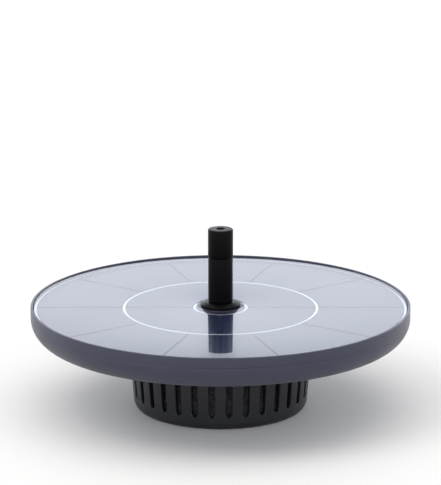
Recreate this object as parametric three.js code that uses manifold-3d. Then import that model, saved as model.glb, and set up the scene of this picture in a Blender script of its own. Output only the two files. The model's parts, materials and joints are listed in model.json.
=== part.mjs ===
// A floating solar fountain pump, in millimetres, +Z up. A round float carries a photovoltaic panel;
// a small centrifugal pump with a horizontal shaft hangs in the well under it; a slotted filter cage
// with a foam sleeve closes the well and is the foot; a push-fit nozzle stands in the middle.
// The origin is the middle of the cage's flat foot.
import * as THREE from "three";
import { mergeVertices } from "three/addons/utils/BufferGeometryUtils.js";
import Module from "manifold-3d";

const wasm = await Module();
wasm.setup();

// ---- Driving dimensions ----
const GAP = 0.3; // between neighbouring pieces that touch
const LAYER_GAP = 0.1; // between the bonded layers of the panel
const WALL = 2; // moulded walls of the float

const FLOAT_RADIUS = 80;
const PANEL_TOP = 44; // the panel's upper face
const FLOAT_DEPTH = 14; // from the panel's face to the float's flat underside
const RIM_WIDTH = 1.1;
const RIM_HEIGHT = 0.3; // of the rim above the panel's face
const KEEL_ROUND = 9.5; // radius of the float's lower edge
const WELL_RADIUS = 39;
const WELL_ROOF = 36.5; // underside of the roof that the pump is screwed to

const BOARD_THICKNESS = 1.4;
const CELL_THICKNESS = 0.25;
const COVER_THICKNESS = 1.15;
const CELL_GAP = 0.8; // between two cells of one ring
const OUTER_CELLS = 10; // the ten outer and four inner cells have nearly equal areas
const INNER_CELLS = 4;
const INNER_BUS_RADIUS = 11; // middle line of each silver ring
const MIDDLE_BUS_RADIUS = 40.7;
const OUTER_BUS_RADIUS = 78;
const BUS_WIDTH = 1;

const NOZZLE_TOP = 77;
const FLANGE_RADIUS = 8.4;
const FLANGE_HEIGHT = 1.8;
const FLANGE_EDGE = 0.8;
const RISER_RADIUS = 5.2;
const HEAD_RADIUS = 5.3;
const HEAD_LENGTH = 12;

const AXIS_HEIGHT = 18.5; // of the pump's shaft
const VOLUTE_RADIUS = 15;
const CAN_RADIUS = 12.6;
const CHAMBER_RADIUS = 13.3;
const CHAMBER_FRONT = -6; // stations along the shaft, which runs along X
const CHAMBER_BACK = 4.5;
const VOLUTE_BACK = 7;
const CAN_BACK = 25.5;
const OUTLET_RADIUS = 5.5;
const OUTLET_BORE = 3.9;

const CAGE_RADIUS = 38.5; // at its collar
const CAGE_FOOT_RADIUS = 36.6;
const CAGE_WALL = 1.8;
const CAGE_SLOTS = 32;
const SLOT_WIDTH = 2.6;

const FINE = 48; // sides of the widest round pieces
const ROUND = 32;
const SMALL = 20;

// ---- Levels and stations worked out from them ----
const KEEL = PANEL_TOP - FLOAT_DEPTH;
const ROOF_TOP = WELL_ROOF + WALL;
const COVER_BOTTOM = PANEL_TOP - COVER_THICKNESS;
const CELL_TOP = COVER_BOTTOM - LAYER_GAP;
const CELL_BOTTOM = CELL_TOP - CELL_THICKNESS;
const BOARD_TOP = CELL_BOTTOM - LAYER_GAP;
const BOARD_BOTTOM = BOARD_TOP - BOARD_THICKNESS;
const LEDGE = BOARD_BOTTOM - LAYER_GAP;
const PANEL_RADIUS = FLOAT_RADIUS - RIM_WIDTH - GAP;
const NECK_RADIUS = 9.6;
const NECK_BORE = 6;
const NECK_TOP = PANEL_TOP - 0.4;
const PANEL_HOLE = NECK_RADIUS + GAP;

// ---- Materials ----
const finish = (color, roughness, metalness = 0) =>
  new THREE.MeshStandardMaterial({ color, roughness, metalness });
const materials = {
  floatPlastic: finish(0x1b1d26, 0.42),
  nozzlePlastic: finish(0x0b0b0d, 0.4),
  pumpPlastic: finish(0x17181b, 0.5),
  cagePlastic: finish(0x16171a, 0.55),
  clearResin: finish(0xc9cee0, 0.05),
  solarCell: finish(0x1c2344, 0.25),
  silver: finish(0xd8dade, 0.3, 0.9),
  circuitBoard: finish(0x20304a, 0.5),
  foam: finish(0xe6e6e2, 0.9),
  sponge: finish(0x2b2c2f, 1),
  rubber: finish(0x121212, 0.8),
  redRubber: finish(0x7d2b22, 0.7),
  ceramic: finish(0xf0eee6, 0.25),
  magnet: finish(0x3a3a3e, 0.45, 0.5),
  laminations: finish(0x8f9196, 0.4, 0.9),
  copper: finish(0xb4622d, 0.35, 0.9),
  epoxy: finish(0x101010, 0.3),
  steel: finish(0xb9bbc0, 0.3, 1),
};

// ---- Shape helpers ----
// A closed geometry as a solid whose faces point outwards.
function solid(geometry) {
  const bare = geometry.index ? geometry.toNonIndexed() : geometry.clone();
  for (const name of ["normal", "uv"]) bare.deleteAttribute(name);
  const merged = mergeVertices(bare, 1e-4);
  const corners = merged.index.array;
  const build = (first, second) => {
    const triangles = [];
    for (let i = 0; i < corners.length; i += 3) {
      const face = [corners[i], corners[i + first], corners[i + second]];
      if (new Set(face).size === 3) triangles.push(...face);
    }
    return new wasm.Manifold(
      new wasm.Mesh({
        numProp: 3,
        vertProperties: merged.attributes.position.array,
        triVerts: new Uint32Array(triangles),
      }),
    );
  };
  const made = build(1, 2);
  return made.volume() < 0 ? build(2, 1) : made;
}

// A named mesh of a solid, in one of the materials above.
function piece(name, shape, material) {
  const { vertProperties, triVerts } = shape.getMesh();
  const geometry = new THREE.BufferGeometry();
  geometry.setAttribute("position", new THREE.BufferAttribute(new Float32Array(vertProperties), 3));
  geometry.setIndex(new THREE.BufferAttribute(new Uint32Array(triVerts), 1));
  geometry.computeVertexNormals();
  const mesh = new THREE.Mesh(geometry, materials[material]);
  mesh.name = name;
  return mesh;
}

const joined = (...solids) => solids.reduce((whole, next) => whole.add(next));
const cut = (whole, ...cutters) => cutters.reduce((left, next) => left.subtract(next), whole);

// A solid of revolution about Z from a closed outline of [radius, height] points.
function turned(outline, sides = ROUND) {
  const points = outline.map(([radius, height]) => new THREE.Vector2(radius, height));
  const onAxis = outline[0][0] === 0;
  if (!onAxis) points.push(points[0].clone());
  return solid(new THREE.LatheGeometry(points, sides).rotateX(Math.PI / 2));
}

const rod = (radius, low, high, sides = ROUND) =>
  turned([[0, low], [radius, low], [radius, high], [0, high]], sides);

const ring = (inner, outer, low, high, sides = ROUND) =>
  turned([[inner, low], [outer, low], [outer, high], [inner, high]], sides);

// A block between two corners.
function block([x0, y0, z0], [x1, y1, z1]) {
  const box = new THREE.BoxGeometry(x1 - x0, y1 - y0, z1 - z0);
  return solid(box.translate((x0 + x1) / 2, (y0 + y1) / 2, (z0 + z1) / 2));
}

// Copies of one shape moved to each [x, y] place.
const at = (places, shape) => places.map(([x, y]) => shape.translate([x, y, 0]));

// Copies of one shape turned to each angle about Z, in degrees.
const turnedTo = (angles, shape) => angles.map((angle) => shape.rotate([0, 0, angle]));

const evenAngles = (count, first = 0) => Array.from({ length: count }, (_, i) => first + (360 * i) / count);

// Stands a shape that was made about Z along the shaft, so that its height becomes its X.
const alongShaft = (shape) => shape.rotate([0, 90, 0]);

// Points of an arc about a middle, from one angle to another in degrees, both ends included.
function arc([middleR, middleZ], radius, from, to, steps) {
  return Array.from({ length: steps + 1 }, (_, i) => {
    const angle = THREE.MathUtils.degToRad(from + ((to - from) * i) / steps);
    return [middleR + radius * Math.cos(angle), middleZ + radius * Math.sin(angle)];
  });
}

function extruded(points, depth, holes = []) {
  const shape = new THREE.Shape(points.map(([x, y]) => new THREE.Vector2(x, y)));
  for (const hole of holes) shape.holes.push(new THREE.Path(hole.map(([x, y]) => new THREE.Vector2(x, y))));
  return solid(new THREE.ExtrudeGeometry(shape, { depth, bevelEnabled: false }));
}

const rectangle = (x0, y0, x1, y1) => [[x0, y0], [x1, y0], [x1, y1], [x0, y1]];

function oRing(radius, section, sides) {
  return solid(new THREE.TorusGeometry(radius, section, 6, sides));
}

// ---- Float ----
// Where the four screws hold the pump's plate to the well's roof.
const SCREW_PLACES = [[-14, -16.5], [-14, 16.5], [16.5, -16.5], [16.5, 16.5]];
const BOSS_RADIUS = 3;
const BOSS_TOP = LEDGE - GAP;
const PILOT_RADIUS = 1.4;
const LEAD_EXIT = [24.4, 12]; // where the pump's lead passes through the roof
const LEAD_HOLE = 2.6;

function floatShell() {
  const cavity = FLOAT_RADIUS - 3.5;
  const edge = FLOAT_RADIUS - KEEL_ROUND;
  const innerRound = KEEL_ROUND - 2.5;
  const shell = turned(
    [
      [NECK_BORE, WELL_ROOF],
      [WELL_RADIUS, WELL_ROOF],
      [WELL_RADIUS, KEEL],
      ...arc([edge, KEEL + KEEL_ROUND], KEEL_ROUND, -90, 0, 5),
      [FLOAT_RADIUS, PANEL_TOP + RIM_HEIGHT],
      [FLOAT_RADIUS - RIM_WIDTH, PANEL_TOP + RIM_HEIGHT],
      [FLOAT_RADIUS - RIM_WIDTH, LEDGE],
      ...arc([cavity - innerRound, KEEL + WALL + innerRound], innerRound, 0, -90, 3),
      [WELL_RADIUS + WALL, KEEL + WALL],
      [WELL_RADIUS + WALL, LEDGE - GAP],
      [WELL_RADIUS, LEDGE - GAP],
      [WELL_RADIUS, ROOF_TOP],
      [NECK_RADIUS, ROOF_TOP],
      [NECK_RADIUS, NECK_TOP],
      [NECK_BORE, NECK_TOP],
    ],
    FINE,
  );
  const bosses = at(SCREW_PLACES, rod(BOSS_RADIUS, WELL_ROOF + 1, BOSS_TOP, SMALL));
  const pilots = at(SCREW_PLACES, rod(PILOT_RADIUS, WELL_ROOF - 1, BOSS_TOP - 0.5, 12));
  const leadHoles = at([LEAD_EXIT], rod(LEAD_HOLE, WELL_ROOF - 1, ROOF_TOP + 1, SMALL));
  return cut(joined(shell, ...bosses), ...pilots, ...leadHoles);
}

function foamFloat() {
  const inner = WELL_RADIUS + WALL + 0.8;
  const outer = FLOAT_RADIUS - 4.2;
  const low = KEEL + WALL + GAP;
  const high = LEDGE - 0.5;
  return turned([[inner, low], [outer - 6.5, low], [outer, low + 6.5], [outer, high], [inner, high]], FINE);
}

// ---- Panel ----
// One cell of a ring: a sector whose two straight sides stay half a gap from the neighbour's.
function cell(inner, outer, count) {
  const steps = Math.ceil(48 / count);
  const half = Math.PI / count;
  const side = (radius) => half - Math.asin(CELL_GAP / 2 / radius);
  const curve = (radius, sign) =>
    Array.from({ length: steps + 1 }, (_, i) => {
      const angle = sign * side(radius) * ((2 * i) / steps - 1);
      return [radius * Math.cos(angle), radius * Math.sin(angle)];
    });
  return extruded([...curve(outer, 1), ...curve(inner, -1)], CELL_THICKNESS).translate([0, 0, CELL_BOTTOM]);
}

function busRing(radius) {
  return ring(radius - BUS_WIDTH / 2, radius + BUS_WIDTH / 2, CELL_BOTTOM, CELL_TOP, 48);
}

function panelLayers() {
  const clear = BUS_WIDTH / 2 + 0.4; // from a silver ring's middle line to the cells beside it
  const layers = new THREE.Group();
  layers.add(
    piece("panel_board", ring(PANEL_HOLE, PANEL_RADIUS, BOARD_BOTTOM, BOARD_TOP, FINE), "circuitBoard"),
    piece("panel_cover", ring(PANEL_HOLE, PANEL_RADIUS, COVER_BOTTOM, PANEL_TOP, FINE), "clearResin"),
    piece("bus_ring_inner", busRing(INNER_BUS_RADIUS), "silver"),
    piece("bus_ring_middle", busRing(MIDDLE_BUS_RADIUS), "silver"),
    piece("bus_ring_outer", busRing(OUTER_BUS_RADIUS), "silver"),
  );
  const rings = [
    ["inner", INNER_BUS_RADIUS + clear, MIDDLE_BUS_RADIUS - clear, INNER_CELLS],
    ["outer", MIDDLE_BUS_RADIUS + clear, OUTER_BUS_RADIUS - clear, OUTER_CELLS],
  ];
  for (const [label, inner, outer, count] of rings) {
    for (let i = 0; i < count; i++) {
      const number = String(i + 1).padStart(2, "0");
      const mesh = piece(`solar_cell_${label}_${number}`, cell(inner, outer, count), "solarCell");
      mesh.rotation.z = ((i + 0.5) * 2 * Math.PI) / count;
      layers.add(mesh);
    }
  }
  return layers;
}

// ---- Wiring between the panel and the pump ----
const LEAD_RADIUS = 1.3;
const GLAND_STATION = 20;
const GLAND_BASE = CAN_RADIUS + 0.3;
const GLAND_TOP = GLAND_BASE + 2.4;

function pumpLead() {
  const [exitX, exitY] = LEAD_EXIT;
  const route = [
    [GLAND_STATION, GLAND_BASE + 0.2, AXIS_HEIGHT],
    [GLAND_STATION, GLAND_TOP + 0.4, AXIS_HEIGHT],
    [GLAND_STATION + 0.8, GLAND_TOP + 2, AXIS_HEIGHT + 2.6],
    [GLAND_STATION + 2.4, GLAND_TOP + 1.2, AXIS_HEIGHT + 7],
    [exitX - 0.4, exitY + 1.4, WELL_ROOF - 6],
    [exitX, exitY, WELL_ROOF - 2],
    [exitX, exitY, WELL_ROOF + 1],
    [exitX, exitY, ROOF_TOP + 0.8],
  ].map((point) => new THREE.Vector3(...point));
  const sides = 8;
  const section = Array.from({ length: sides }, (_, i) => {
    const angle = (2 * Math.PI * i) / sides;
    return new THREE.Vector2(LEAD_RADIUS * Math.cos(angle), LEAD_RADIUS * Math.sin(angle));
  });
  const extrudePath = new THREE.CatmullRomCurve3(route, false, "centripetal");
  return solid(new THREE.ExtrudeGeometry(new THREE.Shape(section), { steps: 28, extrudePath }));
}

function wiring() {
  const [exitX, exitY] = LEAD_EXIT;
  const bore = LEAD_RADIUS + 0.3;
  const lip = LEAD_HOLE + 1;
  const inset = LEAD_HOLE - 0.15;
  const grommet = turned(
    [
      [bore, WELL_ROOF - 0.9],
      [lip, WELL_ROOF - 0.9],
      [lip, WELL_ROOF - 0.1],
      [inset, WELL_ROOF - 0.1],
      [inset, ROOF_TOP + 0.1],
      [lip, ROOF_TOP + 0.1],
      [lip, ROOF_TOP + 0.7],
      [bore, ROOF_TOP + 0.7],
    ],
    16,
  );
  const collar = [[bore, GLAND_BASE], [3, GLAND_BASE], [2.4, GLAND_TOP], [bore, GLAND_TOP]];
  const gland = turned(collar, 16).rotate([-90, 0, 0]);
  const group = new THREE.Group();
  const grommetMesh = piece("lead_grommet", grommet, "rubber");
  grommetMesh.position.set(exitX, exitY, 0);
  const glandMesh = piece("lead_gland", gland, "rubber");
  glandMesh.position.set(GLAND_STATION, 0, AXIS_HEIGHT);
  const underBoard = BOARD_BOTTOM - LAYER_GAP;
  const terminal = block([exitX - 4, exitY - 2.5, underBoard - 1.2], [exitX + 4, exitY + 2.5, underBoard]);
  const diode = block([-2.2, -28.4, underBoard - 1.8], [2.2, -25.6, underBoard]);
  group.add(
    grommetMesh,
    glandMesh,
    piece("pump_lead", pumpLead(), "rubber"),
    piece("lead_terminal", terminal, "epoxy"),
    piece("blocking_diode", diode, "epoxy"),
  );
  return group;
}

// ---- Pump, built about the shaft: X along it, Z up, origin on the shaft under the nozzle ----
const PLATE_TOP = WELL_ROOF - 0.2 - AXIS_HEIGHT;
const PLATE_THICKNESS = 2;
const PLATE_BOTTOM = PLATE_TOP - PLATE_THICKNESS;
const ROTOR_WELL_RADIUS = 6.4;
const ROTOR_WELL_BACK = 20.6;
const STATOR_BORE = ROTOR_WELL_RADIUS + 0.9;
const STATOR_ROOM = CAN_RADIUS - 1.4;
const STATOR_FRONT = 9.9;
const STATOR_LENGTH = 8;
const POLES = 4;
const SHAFT_RADIUS = 1.15;
const HOOK_ANGLES = [0, 180]; // degrees about the shaft from the +Y side
const GROOVE = { low: 39 - AXIS_HEIGHT, high: 40.6 - AXIS_HEIGHT, radius: 4.6 };

function mountingPlate() {
  const [x0, x1, y, round] = [-18, 20.5, 20.5, 4];
  const corner = (cx, cy, from) => arc([cx, cy], round, from, from + 90, 3);
  const outline = [
    ...corner(x1 - round, y - round, 0),
    ...corner(x0 + round, y - round, 90),
    ...corner(x0 + round, -y + round, 180),
    ...corner(x1 - round, -y + round, 270),
  ];
  const holes = at(SCREW_PLACES, rod(1.7, PLATE_BOTTOM - 1, PLATE_TOP + 1, 12));
  return cut(extruded(outline, PLATE_THICKNESS).translate([0, 0, PLATE_BOTTOM]), ...holes);
}

// One L-shaped hook beside the chamber's mouth, which a lug of the cover turns under.
function hook() {
  const [rim, face] = [VOLUTE_RADIUS, CHAMBER_FRONT];
  const arm = block([face - 5.2, rim - 0.4, -3.2], [face + 2, rim + 4, 3.2]);
  const mouth = block([face - 3.6, rim - 1, -4], [face, rim + 2.2, 4]);
  return cut(arm, mouth);
}

function pumpHousing() {
  const back = CAN_BACK;
  const body = alongShaft(
    turned([
      [0, CHAMBER_FRONT],
      [VOLUTE_RADIUS, CHAMBER_FRONT],
      [VOLUTE_RADIUS, VOLUTE_BACK],
      [CAN_RADIUS, VOLUTE_BACK + 1.5],
      [CAN_RADIUS, back - 2.2],
      [CAN_RADIUS - 2.2 * 0.3, back - 2.2 * 0.3],
      [CAN_RADIUS - 1.3, back],
      [0, back],
    ]),
  );
  const chamber = alongShaft(rod(CHAMBER_RADIUS, CHAMBER_FRONT - 1, CHAMBER_BACK));
  const rotorWell = alongShaft(rod(ROTOR_WELL_RADIUS, CHAMBER_BACK - 1, ROTOR_WELL_BACK, 24));
  const statorRoom = alongShaft(
    turned([
      [STATOR_BORE, VOLUTE_BACK + 1.5],
      [STATOR_ROOM, VOLUTE_BACK + 1.5],
      [STATOR_ROOM, back + 1],
      [0, back + 1],
      [0, ROTOR_WELL_BACK + 1.1],
      [STATOR_BORE, ROTOR_WELL_BACK + 1.1],
    ]),
  );
  const outletTop = 42 - AXIS_HEIGHT;
  const outlet = turned([
    [0, 8],
    [OUTLET_RADIUS, 8],
    [OUTLET_RADIUS, GROOVE.low],
    [GROOVE.radius, GROOVE.low],
    [GROOVE.radius, GROOVE.high],
    [OUTLET_RADIUS, GROOVE.high],
    [OUTLET_RADIUS, outletTop],
    [0, outletTop],
  ], 24);
  const bore = rod(OUTLET_BORE, 6, outletTop + 1, 24);
  const webs = [-5.4, 15].map((x) => block([x, -9, 8], [x + 2, 9, PLATE_BOTTOM + 0.5]));
  const hooks = HOOK_ANGLES.map((angle) => hook().rotate([angle, 0, 0]));
  const solidBody = joined(body, outlet, mountingPlate(), ...webs, ...hooks);
  return cut(solidBody, chamber, rotorWell, statorRoom, bore);
}

function statorCore() {
  const length = STATOR_LENGTH;
  const [yoke, outside] = [9.7, STATOR_ROOM - GAP];
  const circle = ring(yoke, outside, 0, length, ROUND);
  const pole = block([STATOR_BORE + GAP, -1.6, 0], [yoke + 0.5, 1.6, length]);
  const poles = turnedTo(evenAngles(POLES, 45), pole);
  return alongShaft(joined(circle, ...poles)).translate([STATOR_FRONT, 0, 0]);
}

// A coil round one pole: a flat rectangular ring that stands out radially.
function statorCoil() {
  const [halfWidth, over, depth] = [2.7, 1.2, 1.1];
  const outline = rectangle(-halfWidth, -over, halfWidth, STATOR_LENGTH + over);
  const window = rectangle(-1.9, -0.3, 1.9, STATOR_LENGTH + 0.3);
  return extruded(outline, depth, [window]).rotate([90, 0, 90]).translate([7.9, 0, 0]);
}

function shaftBush(radius, low, high) {
  return alongShaft(ring(SHAFT_RADIUS + 0.1, radius, low, high, SMALL));
}

function pumpGroup() {
  const pump = new THREE.Group();
  pump.position.z = AXIS_HEIGHT;
  pump.add(piece("pump_housing", pumpHousing(), "pumpPlastic"));
  pump.add(piece("stator_core", statorCore(), "laminations"));
  turnedTo(evenAngles(POLES, 45), statorCoil()).forEach((coil, i) => {
    const placed = alongShaft(coil).translate([STATOR_FRONT, 0, 0]);
    pump.add(piece(`stator_coil_${i + 1}`, placed, "copper"));
  });
  const boardFront = ROTOR_WELL_BACK + 1.4;
  const lid = STATOR_ROOM - GAP; // radius of the board and of the plug that close the can
  const shaft = rod(SHAFT_RADIUS, CHAMBER_FRONT - 3.4, ROTOR_WELL_BACK - 0.5, 16);
  const bush = shaftBush(ROTOR_WELL_RADIUS - GAP, ROTOR_WELL_BACK - 2.1, ROTOR_WELL_BACK - GAP);
  pump.add(
    piece("driver_board", alongShaft(rod(lid, boardFront, boardFront + 0.8, 24)), "circuitBoard"),
    piece("driver_chip", block([boardFront + 0.9, -2, -6], [boardFront + 1.7, 2, -2]), "epoxy"),
    piece("hall_sensor", block([boardFront + 0.9, -1.5, 4], [boardFront + 1.7, 1.5, 6]), "epoxy"),
    piece("potting_plug", alongShaft(rod(lid, boardFront + 1.9, CAN_BACK - 0.2, 24)), "epoxy"),
    piece("rotor_shaft", alongShaft(shaft), "ceramic"),
    piece("rear_bush", bush, "rubber"),
  );
  const seal = piece("outlet_o_ring", oRing(5.3, 0.5, 24), "redRubber");
  seal.position.z = (GROOVE.low + GROOVE.high) / 2;
  pump.add(seal);
  return pump;
}

// ---- Rotor ----
const IMPELLER_RADIUS = 12.2;
const VANES = 6;

// One of the straight radial vanes, which pump in either sense of rotation.
function vane(front) {
  return block([4.2, -0.5, front], [IMPELLER_RADIUS - 0.3, 0.5, front + 4.6]);
}

function impeller() {
  const [discFront, discBack, hubFront] = [2.2, 3.6, -3.6];
  const bore = SHAFT_RADIUS + 0.35;
  const wheel = turned(
    [
      [bore, hubFront],
      [3, hubFront],
      [3.2, discFront],
      [IMPELLER_RADIUS, discFront],
      [IMPELLER_RADIUS, discBack],
      [4, discBack],
      [4, 5.8],
      [bore, 5.8],
    ],
    24,
  );
  const vanes = turnedTo(evenAngles(VANES), vane(discFront - 4.5));
  return alongShaft(joined(wheel, ...vanes));
}

function rotorGroup() {
  const rotor = new THREE.Group();
  rotor.position.z = AXIS_HEIGHT;
  rotor.add(
    piece("impeller", impeller(), "nozzlePlastic"),
    piece("rotor_magnet", alongShaft(ring(SHAFT_RADIUS + 0.35, 5.7, 6, 18, 24)), "magnet"),
  );
  return rotor;
}

// ---- Impeller cover ----
function impellerCover() {
  const face = CHAMBER_FRONT - 0.3;
  const front = face - 2.8;
  const disc = turned([
    [5, front],
    [VOLUTE_RADIUS - 1.6, front],
    [VOLUTE_RADIUS - 1.2, front + 0.8],
    [VOLUTE_RADIUS - 1.2, face],
    [CHAMBER_RADIUS - 0.4, face],
    [CHAMBER_RADIUS - 0.4, face + 0.6],
    [CHAMBER_RADIUS - 1.3, face + 0.6],
    [CHAMBER_RADIUS - 1.3, face + 1.7],
    [CHAMBER_RADIUS - 0.4, face + 1.7],
    [CHAMBER_RADIUS - 0.4, face + 2.1],
    [CHAMBER_RADIUS - 2, face + 2.1],
    [CHAMBER_RADIUS - 2, face],
    [5, face],
  ]);
  const cup = ring(2.4, 3.4, front, face, SMALL);
  const arm = block([2.9, -0.8, front], [5.6, 0.8, front + 1.6]);
  const arms = turnedTo(evenAngles(3), arm);
  const lug = block([-2.6, VOLUTE_RADIUS - 2.2, face - 1.9], [2.6, VOLUTE_RADIUS + 1.8, face]);
  const lugs = turnedTo(HOOK_ANGLES, lug);
  const tab = block([-1, 7.2, front - 2.2], [1, 12.4, front + 0.2]);
  const tabs = turnedTo([90, 270], tab);
  return alongShaft(joined(disc, cup, ...arms, ...lugs, ...tabs));
}

function coverGroup() {
  const cover = new THREE.Group();
  cover.position.z = AXIS_HEIGHT;
  const face = CHAMBER_FRONT - 0.3;
  const seal = piece("cover_o_ring", alongShaft(oRing(CHAMBER_RADIUS - 0.75, 0.4, ROUND)), "redRubber");
  seal.position.x = face + 1.15;
  cover.add(
    piece("impeller_cover", impellerCover(), "pumpPlastic"),
    piece("front_bush", shaftBush(2.2, face - 2.6, face - 0.2), "rubber"),
    seal,
  );
  return cover;
}

// ---- Screws ----
function pumpScrew() {
  const under = PLATE_BOTTOM + AXIS_HEIGHT - 0.1;
  const head = under - 1.5;
  const tip = BOSS_TOP - 1;
  const shank = [[1.2, under], [1.2, tip - 0.8], [0, tip]];
  const body = turned([[0, head], [1.6, head], [2.3, head + 0.6], [2.3, under], ...shank], 16);
  const slot = block([-1.3, -0.3, head - 1], [1.3, 0.3, head + 0.8]);
  return cut(body, slot, slot.rotate([0, 0, 90]));
}

function screws() {
  const group = new THREE.Group();
  SCREW_PLACES.forEach(([x, y], i) => {
    const screw = piece(`pump_screw_${i + 1}`, pumpScrew(), "steel");
    screw.position.set(x, y, 0);
    group.add(screw);
  });
  return group;
}

// ---- Nozzle ----
const FLANGE_TOP = NECK_TOP + 0.1 + FLANGE_HEIGHT;
const PLUG_RADIUS = OUTLET_BORE - 0.3;
const SPIGOT_RADIUS = 3.9;
const SPIGOT_TOP = FLANGE_TOP + 7;
const HEAD_BOTTOM = NOZZLE_TOP - HEAD_LENGTH;
const RISER_BOTTOM = FLANGE_TOP + 0.2;
const RISER_TOP = HEAD_BOTTOM + 7;
const SEAL_LEVEL = 38;

function nozzleBase() {
  const [low, bore] = [33.5, 2.5];
  const groove = [SEAL_LEVEL - 0.65, SEAL_LEVEL + 0.65];
  return turned(
    [
      [bore, low],
      [PLUG_RADIUS - 0.4, low],
      [PLUG_RADIUS, low + 0.6],
      [PLUG_RADIUS, groove[0]],
      [PLUG_RADIUS - 0.7, groove[0]],
      [PLUG_RADIUS - 0.7, groove[1]],
      [PLUG_RADIUS, groove[1]],
      [PLUG_RADIUS, NECK_TOP + 0.1],
      [FLANGE_RADIUS, NECK_TOP + 0.1],
      [FLANGE_RADIUS, NECK_TOP + 0.1 + FLANGE_EDGE],
      [RISER_RADIUS + 1, FLANGE_TOP],
      [SPIGOT_RADIUS, FLANGE_TOP],
      [SPIGOT_RADIUS, SPIGOT_TOP],
      [bore, SPIGOT_TOP],
    ],
    24,
  );
}

function riserTube() {
  const [spigot, bore] = [RISER_RADIUS - 1, 3.2];
  return turned(
    [
      [SPIGOT_RADIUS + 0.3, RISER_BOTTOM],
      [RISER_RADIUS, RISER_BOTTOM],
      [RISER_RADIUS, HEAD_BOTTOM - 0.2],
      [spigot, HEAD_BOTTOM - 0.2],
      [spigot, RISER_TOP],
      [bore, RISER_TOP],
      [bore, SPIGOT_TOP + 0.3],
      [SPIGOT_RADIUS + 0.3, SPIGOT_TOP + 0.3],
    ],
    24,
  );
}

function sprayHead() {
  const socket = RISER_RADIUS - 0.7;
  const [chamber, jet, plate] = [3.4, 1.1, 2.2];
  return turned(
    [
      [socket, HEAD_BOTTOM],
      [HEAD_RADIUS, HEAD_BOTTOM],
      [HEAD_RADIUS, NOZZLE_TOP - 0.5],
      [HEAD_RADIUS - 0.5, NOZZLE_TOP],
      [jet + 0.9, NOZZLE_TOP],
      [jet, NOZZLE_TOP - 0.8],
      [jet, NOZZLE_TOP - plate],
      [chamber, NOZZLE_TOP - plate - 1.2],
      [chamber, RISER_TOP + 0.3],
      [socket, RISER_TOP + 0.3],
    ],
    24,
  );
}

function nozzleGroup() {
  const nozzle = new THREE.Group();
  const seal = piece("base_o_ring", oRing(PLUG_RADIUS - 0.2, 0.4, 24), "redRubber");
  seal.position.z = SEAL_LEVEL;
  nozzle.add(
    piece("nozzle_base", nozzleBase(), "nozzlePlastic"),
    piece("riser_tube", riserTube(), "nozzlePlastic"),
    piece("spray_head", sprayHead(), "nozzlePlastic"),
    seal,
  );
  return nozzle;
}

// ---- Filter cage ----
const CAGE_TOP = 35.4;
const SHOULDER_RADIUS = 41;
const SHOULDER_TOP = KEEL - 0.2;
const SLOT_LOW = 5.5;
const SLOT_HIGH = 25;
const FLOOR_THICKNESS = 2;

function filterCage() {
  const foot = CAGE_FOOT_RADIUS;
  const wall = CAGE_WALL;
  const cup = turned(
    [
      [0, 0],
      [foot - 2.4, 0],
      [foot - 0.7, 0.7],
      [foot, 2.4],
      [CAGE_RADIUS, SHOULDER_TOP - 2.6],
      [SHOULDER_RADIUS, SHOULDER_TOP - 2],
      [SHOULDER_RADIUS, SHOULDER_TOP],
      [CAGE_RADIUS, SHOULDER_TOP],
      [CAGE_RADIUS, CAGE_TOP - 0.6],
      [CAGE_RADIUS - 0.6, CAGE_TOP],
      [CAGE_RADIUS - wall, CAGE_TOP],
      [foot - wall, FLOOR_THICKNESS],
      [0, FLOOR_THICKNESS],
    ],
    FINE,
  );
  const reach = CAGE_RADIUS + 5;
  const slotPair = block([-reach, -SLOT_WIDTH / 2, SLOT_LOW], [reach, SLOT_WIDTH / 2, SLOT_HIGH]);
  const pitch = 360 / CAGE_SLOTS;
  const slotAngles = evenAngles(CAGE_SLOTS, pitch / 2).slice(0, CAGE_SLOTS / 2);
  const slots = turnedTo(slotAngles, slotPair);
  const drain = block([12, -1.3, -1], [29, 1.3, FLOOR_THICKNESS + 1]);
  const drains = turnedTo(evenAngles(8), drain);
  const ribLow = SHOULDER_TOP + 1.6;
  const rib = block([CAGE_RADIUS - 1, -1.5, ribLow], [CAGE_RADIUS + 0.25, 1.5, ribLow + 1.2]);
  const ribs = turnedTo(evenAngles(3, 60), rib);
  return joined(cut(cup, ...slots, ...drains), ...ribs);
}

function cageGroup() {
  const cage = new THREE.Group();
  const sleeve = ring(30, CAGE_FOOT_RADIUS - CAGE_WALL - GAP, FLOOR_THICKNESS + 0.2, 33, 48);
  cage.add(piece("filter_cage", filterCage(), "cagePlastic"), piece("filter_sponge", sleeve, "sponge"));
  return cage;
}

// ---- Assembly ----
const fountainPump = new THREE.Group();
fountainPump.add(
  piece("float_shell", floatShell(), "floatPlastic"),
  piece("foam_float", foamFloat(), "foam"),
  panelLayers(),
  wiring(),
  pumpGroup(),
  rotorGroup(),
  coverGroup(),
  screws(),
  nozzleGroup(),
  cageGroup(),
);

export default fountainPump;
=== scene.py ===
"""A floating solar fountain pump: detailed pieces, materials, light and camera round the frame."""

import json
import math

import bmesh
import bpy
from mathutils import Matrix, Vector, noise


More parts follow.
